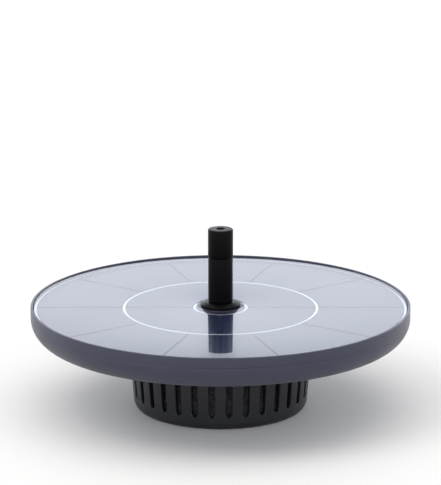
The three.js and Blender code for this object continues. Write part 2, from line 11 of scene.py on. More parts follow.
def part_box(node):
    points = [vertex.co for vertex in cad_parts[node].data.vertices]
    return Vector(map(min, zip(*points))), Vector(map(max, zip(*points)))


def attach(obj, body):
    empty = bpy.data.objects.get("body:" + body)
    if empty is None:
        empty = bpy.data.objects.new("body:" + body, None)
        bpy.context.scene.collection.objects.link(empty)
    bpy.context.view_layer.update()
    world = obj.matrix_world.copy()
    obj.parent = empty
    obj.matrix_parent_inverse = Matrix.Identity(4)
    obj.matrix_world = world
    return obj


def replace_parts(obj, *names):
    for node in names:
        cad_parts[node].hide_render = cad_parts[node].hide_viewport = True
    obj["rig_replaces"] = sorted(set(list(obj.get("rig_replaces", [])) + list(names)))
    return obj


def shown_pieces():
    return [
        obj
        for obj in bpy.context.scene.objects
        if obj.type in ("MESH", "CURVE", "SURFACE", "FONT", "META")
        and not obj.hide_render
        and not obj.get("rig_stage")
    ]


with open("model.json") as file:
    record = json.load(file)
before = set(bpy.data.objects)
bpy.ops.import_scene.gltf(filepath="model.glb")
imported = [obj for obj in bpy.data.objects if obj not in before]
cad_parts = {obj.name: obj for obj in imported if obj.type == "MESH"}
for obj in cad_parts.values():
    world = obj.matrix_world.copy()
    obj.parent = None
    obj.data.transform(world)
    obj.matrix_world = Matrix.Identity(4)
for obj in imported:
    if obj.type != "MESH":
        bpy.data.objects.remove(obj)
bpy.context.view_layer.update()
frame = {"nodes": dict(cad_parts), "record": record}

MM = 0.001


def reach(node):
    """Outer radius, foot and top of a round CAD node that stands on Z, in millimetres."""
    low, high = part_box(node)
    return high.x / MM, low.z / MM, high.z / MM


# ---- Sizes, in millimetres ----
# Read from the frame's boxes where a node shows them, and else the same as the CAD model's own.
FLOAT_RADIUS, KEEL, RIM_TOP = reach("float_shell")
PANEL_RADIUS, COVER_BOTTOM, PANEL_TOP = reach("panel_cover")
_, BOARD_BOTTOM, BOARD_TOP = reach("panel_board")
_, CELL_BOTTOM, CELL_TOP = reach("bus_ring_inner")
FLANGE_RADIUS, PLUG_LOW, SPIGOT_TOP = reach("nozzle_base")
RISER_RADIUS, RISER_BOTTOM, RISER_TOP = reach("riser_tube")
HEAD_RADIUS, HEAD_BOTTOM, NOZZLE_TOP = reach("spray_head")
SHOULDER_RADIUS, _, CAGE_TOP = reach("filter_cage")
SPONGE_RADIUS, SPONGE_LOW, SPONGE_TOP = reach("filter_sponge")
FOAM_RADIUS, FOAM_LOW, FOAM_TOP = reach("foam_float")
AXIS_HEIGHT = sum(c.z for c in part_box("rotor_shaft")) / 2 / MM

WALL = 2
RIM_WIDTH = 1.1
KEEL_ROUND = 9.5
WELL_RADIUS = 39
WELL_ROOF = 36.5
ROOF_TOP = WELL_ROOF + WALL
LEDGE = BOARD_BOTTOM - 0.1
NECK_RADIUS, NECK_BORE, NECK_TOP = 9.6, 6, PANEL_TOP - 0.4
PANEL_HOLE = NECK_RADIUS + 0.3
SCREW_PLACES = [(-14, -16.5), (-14, 16.5), (16.5, -16.5), (16.5, 16.5)]
BOSS_RADIUS, PILOT_RADIUS = 3, 1.4
LEAD_EXIT, LEAD_HOLE = (24.4, 12), 2.6

CELL_GAP = 0.8
BUS_WIDTH = 1
BUS_RADII = {"inner": 11, "middle": 40.7, "outer": 78}
FINGER_PITCH, FINGER_WIDTH = 2.4, 0.32
CELL_RINGS = {"inner": ("inner", "middle", 4), "outer": ("middle", "outer", 10)}


# ---- Mesh helpers: every outline and corner is in millimetres ----
def as_object(name, bm):
    """Closes a bmesh into a new object with outward faces."""
    bmesh.ops.recalc_face_normals(bm, faces=bm.faces)
    mesh = bpy.data.meshes.new(name)
    bm.to_mesh(mesh)
    bm.free()
    piece = bpy.data.objects.new(name, mesh)
    bpy.context.scene.collection.objects.link(piece)
    return piece


def rounded(outline, fillet, steps):
    """A closed outline with its corners rounded. A corner's third number is its own radius."""
    points = []
    for i, corner in enumerate(outline):
        here = Vector(corner[:2])
        radius = corner[2] if len(corner) > 2 else fillet
        before = Vector(outline[i - 1][:2]) - here
        after = Vector(outline[(i + 1) % len(outline)][:2]) - here
        turn = before.angle(after)
        if here.x < 1e-6 or radius <= 0 or turn > math.pi - 0.15:
            points.append(here)
            continue
        back = min(radius / math.tan(turn / 2), 0.45 * before.length, 0.45 * after.length)
        start = here + before.normalized() * back
        end = here + after.normalized() * back
        for k in range(steps + 1):
            t = k / steps
            points.append(start * (1 - t) ** 2 + here * 2 * t * (1 - t) + end * t**2)
    return points


def turned(name, outline, segments=160, fillet=0.15, steps=3):
    """A solid of revolution about Z from a closed outline of (radius, height) points."""
    bm = bmesh.new()
    rings = []
    for radius, height in rounded(outline, fillet, steps):
        count = segments if radius > 1e-6 else 1
        turns = [2 * math.pi * k / count for k in range(count)]
        spots = [(radius * math.cos(a) * MM, radius * math.sin(a) * MM, height * MM) for a in turns]
        rings.append([bm.verts.new(spot) for spot in spots])
    for low, high in zip(rings, rings[1:] + rings[:1]):
        for k in range(segments if len(low) + len(high) > 2 else 0):
            following = k + 1
            corners = [low[k % len(low)], low[following % len(low)]]
            corners += [high[following % len(high)], high[k % len(high)]]
            bm.faces.new(list(dict.fromkeys(corners)))
    return as_object(name, bm)


def rod(radius, low, high, segments=64):
    return turned("tool", [(0, low), (radius, low), (radius, high), (0, high)], segments, fillet=0)


def extruded(name, outline, low, high):
    """A flat outline of (x, y) points pulled up from one height to another."""
    bm = bmesh.new()
    floor = [bm.verts.new((x * MM, y * MM, low * MM)) for x, y in outline]
    roof = [bm.verts.new((x * MM, y * MM, high * MM)) for x, y in outline]
    bm.faces.new(floor)
    bm.faces.new(roof)
    for k in range(len(outline)):
        following = (k + 1) % len(outline)
        bm.faces.new([floor[k], floor[following], roof[following], roof[k]])
    return as_object(name, bm)


def block(low, high, ease=0.0):
    (x0, y0, z0), (x1, y1, z1) = low, high
    brick = extruded("tool", [(x0, y0), (x1, y0), (x1, y1), (x0, y1)], z0, z1)
    return eased(brick, ease) if ease else brick


def lofted(layers):
    """A solid tool through several outlines of equal length, each a list of (x, y, z) points."""
    bm = bmesh.new()
    rings = [[bm.verts.new([c * MM for c in spot]) for spot in layer] for layer in layers]
    bm.faces.new(rings[0])
    bm.faces.new(rings[-1])
    for low, high in zip(rings, rings[1:]):
        for k in range(len(low)):
            following = (k + 1) % len(low)
            bm.faces.new([low[k], low[following], high[following], high[k]])
    return as_object("tool", bm)


def moved(piece, matrix):
    piece.data.transform(matrix)
    return piece


def shifted(piece, x=0.0, y=0.0, z=0.0):
    return moved(piece, Matrix.Translation((x * MM, y * MM, z * MM)))


def spun(piece, degrees, axis="Z"):
    return moved(piece, Matrix.Rotation(math.radians(degrees), 4, axis))


def along_shaft(piece):
    """Lays a piece that was made about Z along the pump's shaft, so its height becomes its X."""
    return shifted(spun(piece, 90, "Y"), z=AXIS_HEIGHT)


def joined_copies(make, count, first=0.0):
    """Several copies of one tool, turned evenly about Z, as a single object of separate shells."""
    bm = bmesh.new()
    for k in range(count):
        copy = spun(make(), first + 360 * k / count)
        bm.from_mesh(copy.data)
        bpy.data.objects.remove(copy)
    return as_object("tool", bm)


def applied(piece):
    """Bakes a piece's modifiers into its mesh."""
    graph = bpy.context.evaluated_depsgraph_get()
    mesh = bpy.data.meshes.new_from_object(piece.evaluated_get(graph))
    piece.modifiers.clear()
    piece.data = mesh
    return piece


def combine(piece, operation, *tools):
    for tool in tools:
        change = piece.modifiers.new("combine", "BOOLEAN")
        change.operation = operation
        change.solver = "EXACT"
        change.object = tool
        applied(piece)
        bpy.data.objects.remove(tool)
    return cleaned(piece)


def cleaned(piece):
    """Merges points that a boolean left on top of each other."""
    bm = bmesh.new()
    bm.from_mesh(piece.data)
    bmesh.ops.remove_doubles(bm, verts=bm.verts, dist=5e-7)
    bmesh.ops.dissolve_degenerate(bm, edges=bm.edges, dist=5e-7)
    bm.to_mesh(piece.data)
    bm.free()
    return piece


def eased(piece, width):
    """Rounds the sharp edges that booleans and extrusions leave."""
    bevel = piece.modifiers.new("edges", "BEVEL")
    bevel.width = width * MM
    bevel.segments = 2
    bevel.limit_method = "ANGLE"
    bevel.angle_limit = math.radians(35)
    return applied(piece)


def finished(piece, body, material, slot, *nodes, sharp=40):
    """Shades, colours and attaches a piece that stands for some CAD nodes."""
    piece.data.polygons.foreach_set("use_smooth", [True] * len(piece.data.polygons))
    piece.data.set_sharp_from_angle(angle=math.radians(sharp))
    piece.data.materials.clear()
    piece.data.materials.append(material)
    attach(piece, body)
    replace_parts(piece, *nodes)
    return piece


def tube(name, route, radius):
    """A round tube along a smooth curve through some points, as a closed mesh."""
    curve = bpy.data.curves.new(name, "CURVE")
    curve.dimensions = "3D"
    curve.bevel_depth = radius * MM
    curve.bevel_resolution = 4
    curve.use_fill_caps = True
    line = curve.splines.new("BEZIER")
    line.bezier_points.add(len(route) - 1)
    for point, spot in zip(line.bezier_points, route):
        point.co = [c * MM for c in spot]
        point.handle_left_type = point.handle_right_type = "AUTO"
    line.resolution_u = 10
    holder = bpy.data.objects.new("tool", curve)
    bpy.context.scene.collection.objects.link(holder)
    graph = bpy.context.evaluated_depsgraph_get()
    mesh = bpy.data.meshes.new_from_object(holder.evaluated_get(graph))
    bpy.data.objects.remove(holder)
    bm = bmesh.new()
    bm.from_mesh(mesh)
    bmesh.ops.remove_doubles(bm, verts=bm.verts, dist=1e-6)
    return as_object(name, bm)


# ---- Material helpers ----
class Graph:
    """A material's node tree with a Principled shader and the object's own coordinates."""

    def __init__(self, name):
        self.material = bpy.data.materials.new(name)
        self.material.use_nodes = True
        self.tree = self.material.node_tree
        self.shader = self.tree.nodes["Principled BSDF"]
        self.place = self.add("ShaderNodeTexCoord").outputs["Object"]

    def add(self, kind, **settings):
        node = self.tree.nodes.new(kind)
        for key, value in settings.items():
            setattr(node, key, value)
        return node

    def link(self, source, target):
        self.tree.links.new(source, target)

    def set(self, **values):
        for name, value in values.items():
            self.shader.inputs[name.replace("_", " ")].default_value = value

    def math(self, operation, a, b=0.0):
        node = self.add("ShaderNodeMath", operation=operation)
        for socket, value in zip(node.inputs, (a, b)):
            if isinstance(value, (int, float)):
                socket.default_value = value
            else:
                self.link(value, socket)
        return node.outputs[0]

    def noise(self, scale, detail=3.0, stretch=None):
        """Noise with a given number of features per metre."""
        node = self.add("ShaderNodeTexNoise")
        node.inputs["Scale"].default_value = scale
        node.inputs["Detail"].default_value = detail
        source = self.place
        if stretch:
            scaled = self.add("ShaderNodeMapping")
            scaled.inputs["Scale"].default_value = stretch
            self.link(source, scaled.inputs["Vector"])
            source = scaled.outputs["Vector"]
        self.link(source, node.inputs["Vector"])
        return node.outputs["Fac"]

    def ranged(self, value, low, high, to_low, to_high):
        node = self.add("ShaderNodeMapRange")
        limits = {"From Min": low, "From Max": high, "To Min": to_low, "To Max": to_high}
        for name, number in limits.items():
            node.inputs[name].default_value = number
        self.link(value, node.inputs["Value"])
        return node.outputs["Result"]

    def mixed(self, share, first, second):
        """A colour between two, each either four numbers or a socket."""
        node = self.add("ShaderNodeMix", data_type="RGBA")
        self.link(share, node.inputs["Factor"])
        for socket, value in zip(node.inputs[6:8], (first, second)):
            if isinstance(value, tuple):
                socket.default_value = value
            else:
                self.link(value, socket)
        return node.outputs[2]

    def bump(self, height, distance):
        node = self.add("ShaderNodeBump")
        node.inputs["Distance"].default_value = distance
        node.inputs["Strength"].default_value = 1.0
        self.link(height, node.inputs["Height"])
        return node.outputs["Normal"]


def shade(color, factor):
    return tuple(min(c * factor, 1.0) for c in color) + (1.0,)


def moulded(name, color, roughness, grain=0.00002, specular=0.5):
    """Injection-moulded plastic: a fine spark-eroded grain, and cloudy gloss and colour."""
    g = Graph(name)
    clouds = g.noise(60, 4)
    g.link(g.mixed(clouds, shade(color, 0.88), shade(color, 1.12)), g.shader.inputs["Base Color"])
    g.link(g.ranged(clouds, 0.3, 0.7, roughness * 0.85, roughness * 1.15), g.shader.inputs["Roughness"])
    g.link(g.bump(g.noise(2600, 2), grain), g.shader.inputs["Normal"])
    g.set(Specular_IOR_Level=specular)
    return g.material


def metal(name, color, roughness, stretch=None):
    g = Graph(name)
    streaks = g.noise(1200, 3, stretch)
    g.link(g.mixed(streaks, shade(color, 0.85), shade(color, 1.1)), g.shader.inputs["Base Color"])
    g.link(g.ranged(streaks, 0.3, 0.7, roughness * 0.7, roughness * 1.3), g.shader.inputs["Roughness"])
    g.set(Metallic=1.0)
    return g.material


def foam(name, color, pore, depth):
    """Open or closed cells: pits between bubbles of a given size, with painted shade that darkens them
    inside.
    """
    g = Graph(name)
    bubbles = g.add("ShaderNodeTexVoronoi")
    bubbles.inputs["Scale"].default_value = 1 / pore
    g.link(g.place, bubbles.inputs["Vector"])
    pits = g.ranged(bubbles.outputs["Distance"], 0.1, 0.6, 0.0, 1.0)
    # Painted shade: the colour drops to about a third inside each pit, on top of the bumped relief.
    g.link(g.mixed(pits, shade(color, 0.35), shade(color, 1.2)), g.shader.inputs["Base Color"])
    g.link(g.bump(pits, depth), g.shader.inputs["Normal"])
    g.set(Roughness=0.95, Specular_IOR_Level=0.2)
    return g.material


def solar_cell(name, color, count):
    """Silicon with thin fingers along each cell's middle line, in a ring of some number of cells."""
    g = Graph(name)
    split = g.add("ShaderNodeSeparateXYZ")
    g.link(g.place, split.inputs["Vector"])
    x, y = split.outputs["X"], split.outputs["Y"]
    radius = g.math("SQRT", g.math("ADD", g.math("MULTIPLY", x, x), g.math("MULTIPLY", y, y)))
    turns = g.math("MULTIPLY", g.math("ARCTAN2", y, x), count / (2 * math.pi))
    number = g.math("FLOOR", turns)
    offset = g.math("SUBTRACT", g.math("SUBTRACT", turns, number), 0.5)
    across = g.math("MULTIPLY", radius, g.math("SINE", g.math("MULTIPLY", offset, 2 * math.pi / count)))
    step = g.math("FRACT", g.math("DIVIDE", across, FINGER_PITCH * MM))
    edge = g.math("ABSOLUTE", g.math("SUBTRACT", step, 0.5))
    finger = g.ranged(edge, 0.0, FINGER_WIDTH / FINGER_PITCH / 2, 1.0, 0.0)
    own_tone = g.add("ShaderNodeTexWhiteNoise", noise_dimensions="1D")
    g.link(g.math("ADD", number, 0.37), own_tone.inputs["W"])
    clouds = g.noise(28, 3)
    own_share = g.math("MULTIPLY", own_tone.outputs["Value"], 0.45)
    tone = g.math("ADD", own_share, g.math("MULTIPLY", clouds, 0.55))
    coat = g.mixed(tone, shade(color, 0.6), shade(color, 1.5))
    g.link(g.mixed(finger, coat, FINGER_COLOR), g.shader.inputs["Base Color"])
    g.link(g.ranged(clouds, 0.3, 0.7, 0.285, 0.315), g.shader.inputs["Roughness"])
    g.set(Specular_IOR_Level=0.15)
    return g.material


def clear_resin(name):
    """The clear cover: it mirrors by Fresnel on its outside and lets the rest straight through."""
    g = Graph(name)
    g.tree.nodes.remove(g.shader)
    wave = g.bump(g.noise(45, 1), 0.00004)
    clear = g.add("ShaderNodeBsdfTransparent")
    clear.inputs["Color"].default_value = (0.97, 0.98, 1.0, 1.0)
    mirror = g.add("ShaderNodeBsdfGlossy")
    mirror.inputs["Roughness"].default_value = 0.045
    g.link(wave, mirror.inputs["Normal"])
    fresnel = g.add("ShaderNodeFresnel")
    fresnel.inputs["IOR"].default_value = 1.58
    g.link(wave, fresnel.inputs["Normal"])
    outside = g.math("SUBTRACT", 1.0, g.add("ShaderNodeNewGeometry").outputs["Backfacing"])
    share = g.math("MULTIPLY", fresnel.outputs["Fac"], outside)
    mix = g.add("ShaderNodeMixShader")
    g.link(share, mix.inputs[0])
    g.link(clear.outputs[0], mix.inputs[1])
    g.link(mirror.outputs[0], mix.inputs[2])
    g.link(mix.outputs[0], g.tree.nodes["Material Output"].inputs["Surface"])
    return g.material


def winding(name, color):
    """Enamelled copper wire laid side by side, with painted shade that darkens the grooves between the
    wires.
    """
    g = Graph(name)
    wires = g.add("ShaderNodeTexWave", bands_direction="X")
    wires.inputs["Scale"].default_value = 900
    g.link(g.place, wires.inputs["Vector"])
    bands = wires.outputs["Fac"]
    # Painted shade: the colour halves in the grooves between the wires, following the bumped bands.
    g.link(g.mixed(bands, shade(color, 0.5), shade(color, 1.1)), g.shader.inputs["Base Color"])
    g.link(g.bump(bands, 0.00008), g.shader.inputs["Normal"])
    g.set(Metallic=0.8, Roughness=0.3, Coat_Weight=0.6, Coat_Roughness=0.1)
    return g.material


CELL_BLUE = (0.008, 0.012, 0.032)
FINGER_COLOR = (0.075, 0.085, 0.12, 1.0)
materials = {
    "float_shell": moulded("float_plastic", (0.016, 0.017, 0.036), 0.38),
    "foam": foam("closed_cell_foam", (0.75, 0.75, 0.72), 0.0012, 0.00015),
    "circuit_board": moulded("solder_mask", (0.010, 0.014, 0.040), 0.35),
    "clear_cover": clear_resin("clear_resin"),
    "silver": metal("silver_print", (0.60, 0.61, 0.64), 0.45),
    "cell_inner": solar_cell("solar_cell_inner", CELL_BLUE, CELL_RINGS["inner"][2]),
    "cell_outer": solar_cell("solar_cell_outer", CELL_BLUE, CELL_RINGS["outer"][2]),
    "rubber": moulded("black_rubber", (0.012, 0.012, 0.013), 0.65, 0.00003, 0.3),
    "epoxy": moulded("black_epoxy", (0.010, 0.010, 0.012), 0.22, 0.00001),
    "pump_plastic": moulded("pump_plastic", (0.016, 0.017, 0.020), 0.42),
    "laminations": metal("steel_laminations", (0.40, 0.41, 0.43), 0.4, (60, 1, 1)),
    "copper": winding("copper_wire", (0.72, 0.30, 0.12)),
    "ceramic": moulded("ceramic", (0.82, 0.80, 0.74), 0.18, 0.000004),
    "magnet": metal("ferrite", (0.09, 0.09, 0.10), 0.55),
    "seal_rubber": moulded("red_rubber", (0.33, 0.05, 0.03), 0.5, 0.00001),
    "steel": metal("screw_steel", (0.58, 0.58, 0.60), 0.28),
    "nozzle_plastic": moulded("nozzle_plastic", (0.0016, 0.0016, 0.0018), 0.34, 0.000012, 0.07),
    "cage_plastic": moulded("cage_plastic", (0.008, 0.0085, 0.010), 0.42, specular=0.4),
    "sponge": foam("open_cell_sponge", (0.035, 0.035, 0.038), 0.0011, 0.0004),
}


# ---- Float ----
def float_shell():
    """The hollow ring-shaped moulding, with a parting line on its side, four screw bosses and a neck."""
    edge = FLOAT_RADIUS - KEEL_ROUND
    cavity = FLOAT_RADIUS - 3.5
    seam = KEEL + KEEL_ROUND + 0.4
    outline = [
        (NECK_BORE, WELL_ROOF, 0.3),
        (WELL_RADIUS, WELL_ROOF, 1.0),
        (WELL_RADIUS, KEEL, 0.5),
        *[
            (edge + KEEL_ROUND * math.sin(t), KEEL + KEEL_ROUND * (1 - math.cos(t)), 0)
            for t in (math.radians(6 * k) for k in range(16))
        ],
        (FLOAT_RADIUS, seam - 0.15, 0.05),
        (FLOAT_RADIUS - 0.15, seam, 0.05),
        (FLOAT_RADIUS, seam + 0.15, 0.05),
        (FLOAT_RADIUS, RIM_TOP, 0.35),
        (FLOAT_RADIUS - RIM_WIDTH, RIM_TOP, 0.3),
        (FLOAT_RADIUS - RIM_WIDTH, LEDGE, 0),
        (cavity, LEDGE, 0.3),
        (cavity, KEEL + WALL, 7),
        (WELL_RADIUS + WALL, KEEL + WALL, 1),
        (WELL_RADIUS + WALL, LEDGE - 0.3, 0.3),
        (WELL_RADIUS, LEDGE - 0.3, 0.3),
        (WELL_RADIUS, ROOF_TOP, 0.5),
        (NECK_RADIUS, ROOF_TOP, 0.8),
        (NECK_RADIUS, NECK_TOP, 0.3),
        (NECK_BORE, NECK_TOP, 0.3),
    ]
    shell = turned("float_moulding", outline, 192, steps=6)
    boss_top = LEDGE - 0.3
    for x, y in SCREW_PLACES:
        combine(shell, "UNION", shifted(rod(BOSS_RADIUS, WELL_ROOF + 1, boss_top, 32), x, y))
    for x, y in SCREW_PLACES:
        combine(shell, "DIFFERENCE", shifted(rod(PILOT_RADIUS, WELL_ROOF - 1, boss_top - 0.5, 24), x, y))
    combine(shell, "DIFFERENCE", shifted(rod(LEAD_HOLE, WELL_ROOF - 1, ROOF_TOP + 1, 32), *LEAD_EXIT))
    finished(shell, "float_body", materials["float_shell"], "float_shell", "float_shell")


def foam_float():
    inner = WELL_RADIUS + WALL + 0.8
    outline = [
        (inner, FOAM_LOW, 1.0),
        (FOAM_RADIUS - 6.5, FOAM_LOW, 2.0),
        (FOAM_RADIUS, FOAM_LOW + 6.5, 1.0),
        (FOAM_RADIUS, FOAM_TOP, 0.6),
        (inner, FOAM_TOP, 0.6),
    ]
    ring = turned("foam_ring", outline, 128, steps=4)
    finished(ring, "float_body", materials["foam"], "foam", "foam_float")


# ---- Panel ----
def panel_cover():
    outline = [
        (PANEL_HOLE, COVER_BOTTOM),
        (PANEL_RADIUS, COVER_BOTTOM),
        (PANEL_RADIUS, PANEL_TOP, 0.25),
        (PANEL_HOLE, PANEL_TOP, 0.25),
    ]
    cover = turned("clear_cover", outline, 192, fillet=0.05)
    finished(cover, "float_body", materials["clear_cover"], "clear_cover", "panel_cover")


def panel_board():
    outline = [
        (PANEL_HOLE, BOARD_BOTTOM),
        (PANEL_RADIUS, BOARD_BOTTOM),
        (PANEL_RADIUS, BOARD_TOP),
        (PANEL_HOLE, BOARD_TOP),
    ]
    board = turned("round_board", outline, 192, fillet=0.05)
    finished(board, "float_body", materials["circuit_board"], "circuit_board", "panel_board")


def bus_rings():
    half = BUS_WIDTH / 2
    for label, middle in BUS_RADII.items():
        outline = [
            (middle - half, CELL_BOTTOM),
            (middle + half, CELL_BOTTOM),
            (middle + half, CELL_TOP),
            (middle - half, CELL_TOP),
        ]
        ring = turned(f"silver_ring_{label}", outline, 192, fillet=0.03)
        finished(ring, "float_body", materials["silver"], "silver", f"bus_ring_{label}")


def cell_outline(inner, outer, count):
    """A sector with clipped corners whose straight sides keep half a gap from the neighbours."""
    half = math.pi / count
    clip = 1.2
    steps = 10 if count > 6 else 26

    def side(radius, extra=0.0):
        return half - math.asin((CELL_GAP / 2 + extra) / radius)

    def curve(radius, sign):
        span = side(radius, clip)
        angles = [sign * span * (2 * k / steps - 1) for k in range(steps + 1)]
        return [(radius * math.cos(a), radius * math.sin(a)) for a in angles]

    def corner(radius, sign):
        return (radius * math.cos(sign * side(radius)), radius * math.sin(sign * side(radius)))

    points = [corner(outer - clip, -1), *curve(outer, 1), corner(outer - clip, 1)]
    points += [corner(inner + clip, 1), *curve(inner, -1), corner(inner + clip, -1)]
    return points


def solar_cells():
    clear = BUS_WIDTH / 2 + 0.4
    for label, (inner_bus, outer_bus, count) in CELL_RINGS.items():
        outline = cell_outline(BUS_RADII[inner_bus] + clear, BUS_RADII[outer_bus] - clear, count)
        for k in range(count):
            cell = extruded(f"cell_{label}_{k + 1}", outline, CELL_BOTTOM, CELL_TOP)
            spun(cell, 360 * (k + 0.5) / count)
            finished(
                cell,
                "float_body",
                materials[f"cell_{label}"],
                "solar_cell",
                f"solar_cell_{label}_{k + 1:02d}",
                sharp=20,
            )


# ---- Nozzle ----
FLANGE_LOW = NECK_TOP + 0.1
FLANGE_TOP = RISER_BOTTOM - 0.2
FLANGE_EDGE = 0.8
PLUG_RADIUS, PLUG_BORE = 3.6, 2.5
SEAL_LEVEL, SEAL_GROOVE, SEAL_HALF = 38, 0.7, 0.65
SPIGOT_RADIUS = 3.9
RISER_BORE = 3.2
HEAD_CHAMBER, JET_RADIUS = 3.4, 1.1


def nozzle_base():
    """The plug with its O-ring groove, the flange that rests on the float's neck, and the spigot."""
    outline = [
        (PLUG_BORE, PLUG_LOW),
        (PLUG_RADIUS, PLUG_LOW, 0.6),
        (PLUG_RADIUS, SEAL_LEVEL - SEAL_HALF, 0.1),
        (PLUG_RADIUS - SEAL_GROOVE, SEAL_LEVEL - SEAL_HALF, 0.1),
        (PLUG_RADIUS - SEAL_GROOVE, SEAL_LEVEL + SEAL_HALF, 0.1),
        (PLUG_RADIUS, SEAL_LEVEL + SEAL_HALF, 0.1),
        (PLUG_RADIUS, FLANGE_LOW, 0.2),
        (FLANGE_RADIUS, FLANGE_LOW, 0.25),
        (FLANGE_RADIUS, FLANGE_LOW + FLANGE_EDGE, 0.3),
        (RISER_RADIUS + 1, FLANGE_TOP, 0.5),
        (SPIGOT_RADIUS, FLANGE_TOP, 0.2),
        (SPIGOT_RADIUS, SPIGOT_TOP, 0.3),
        (PLUG_BORE, SPIGOT_TOP, 0.3),
    ]
    base = turned("nozzle_foot", outline, 96)
    finished(base, "nozzle_base", materials["nozzle_plastic"], "nozzle_plastic", "nozzle_base")


def riser_tube():
    socket = SPIGOT_RADIUS + 0.3
    spigot = RISER_RADIUS - 1
    outline = [
        (socket, RISER_BOTTOM, 0.2),
        (RISER_RADIUS, RISER_BOTTOM, 0.35),
        (RISER_RADIUS, HEAD_BOTTOM - 0.2, 0.25),
        (spigot, HEAD_BOTTOM - 0.2, 0.1),
        (spigot, RISER_TOP, 0.3),
        (RISER_BORE, RISER_TOP, 0.2),
        (RISER_BORE, SPIGOT_TOP + 0.3, 0.1),
        (socket, SPIGOT_TOP + 0.3, 0.1),
    ]
    riser = turned("riser_pipe", outline, 96)
    finished(riser, "riser", materials["nozzle_plastic"], "nozzle_plastic", "riser_tube")


def spray_head():
    """The cap with one hole, which flares a little at its mouth."""
    socket = RISER_RADIUS - 0.7
    outline = [
        (socket, HEAD_BOTTOM, 0.2),
        (HEAD_RADIUS, HEAD_BOTTOM, 0.3),
        (HEAD_RADIUS, NOZZLE_TOP, 0.7),
        (JET_RADIUS + 0.9, NOZZLE_TOP, 0.2),
        (JET_RADIUS, NOZZLE_TOP - 0.8, 0.2),
        (JET_RADIUS, NOZZLE_TOP - 2.2, 0.1),
        (HEAD_CHAMBER, NOZZLE_TOP - 3.4, 0.2),
        (HEAD_CHAMBER, RISER_TOP + 0.3, 0.1),
        (socket, RISER_TOP + 0.3, 0.1),
    ]
    head = turned("jet_head", outline, 96)
    finished(head, "spray_head", materials["nozzle_plastic"], "nozzle_plastic", "spray_head")


# ---- Filter cage ----
CAGE_FOOT, CAGE_COLLAR, CAGE_WALL, CAGE_FLOOR = 36.6, 38.5, 1.8, 2
CAGE_SHOULDER = KEEL - 0.2
SLANT_LOW, SLANT_HIGH = 2.6, CAGE_SHOULDER - 2.6
SLIT_HALF, SLIT_CHAMFER, OVERSHOOT = 1.3, 0.3, 0.9
SLOT_COUNT, SLOT_LOW, SLOT_HIGH = 32, 5.5, 25
DRAIN_COUNT, DRAIN_INNER, DRAIN_OUTER = 8, 12, 29
SPONGE_BORE = 30


def slit(low, high, grow):
    """A round-ended slit as (along, across) points, grown all round for its chamfer."""
    radius = SLIT_HALF + grow
    turns = [(math.sin(a), math.cos(a)) for a in (math.radians(15 * k) for k in range(13))]
    top = [(high - SLIT_HALF + radius * u, radius * v) for u, v in turns]
    return top + [(low + SLIT_HALF - radius * u, -radius * v) for u, v in turns]


def slot_cutter():
    """A tool for one upright slot through the slanted wall, with its outer edge chamfered."""
    slope = (CAGE_COLLAR - CAGE_FOOT) / (SLANT_HIGH - SLANT_LOW)
    layers = []
    for depth, grow in ((-9, 0), (-SLIT_CHAMFER, 0), (OVERSHOOT, OVERSHOOT + SLIT_CHAMFER)):
        spots = slit(SLOT_LOW, SLOT_HIGH, grow)
        layers.append([(CAGE_FOOT + (z - SLANT_LOW) * slope + depth, y, z) for z, y in spots])
    return lofted(layers)


def drain_cutter():
    """A tool for one radial slit through the floor, with its lower edge chamfered."""
    layers = []
    levels = ((-OVERSHOOT, OVERSHOOT + SLIT_CHAMFER), (SLIT_CHAMFER, 0), (CAGE_FLOOR + 1, 0))
    for height, grow in levels:
        layers.append([(x, y, height) for x, y in slit(DRAIN_INNER, DRAIN_OUTER, grow)])
    return lofted(layers)


def filter_cage():
    outline = [
        (0, 0),
        (CAGE_FOOT - 1.2, 0, 2.2),
        (CAGE_FOOT + 0.05, SLANT_LOW, 1.5),
        (CAGE_COLLAR, SLANT_HIGH, 0.5),
        (SHOULDER_RADIUS, CAGE_SHOULDER - 2, 0.4),
        (SHOULDER_RADIUS, CAGE_SHOULDER, 0.4),
        (CAGE_COLLAR, CAGE_SHOULDER, 0.3),
        (CAGE_COLLAR, CAGE_TOP, 0.6),
        (CAGE_COLLAR - CAGE_WALL, CAGE_TOP, 0.4),
        (CAGE_FOOT - CAGE_WALL, CAGE_FLOOR, 1.2),
        (0, CAGE_FLOOR),
    ]
    cup = turned("slotted_cage", outline, 192, steps=5)
    combine(cup, "DIFFERENCE", joined_copies(slot_cutter, SLOT_COUNT, first=180 / SLOT_COUNT))
    combine(cup, "DIFFERENCE", joined_copies(drain_cutter, DRAIN_COUNT))
    for angle in (60, 180, 300):
        low = (CAGE_COLLAR - 1, -1.5, CAGE_SHOULDER + 1.6)
        high = (CAGE_COLLAR + 0.25, 1.5, CAGE_SHOULDER + 2.8)
        combine(cup, "UNION", spun(block(low, high, 0.2), angle))
    finished(cup, "filter_cage", materials["cage_plastic"], "cage_plastic", "filter_cage")


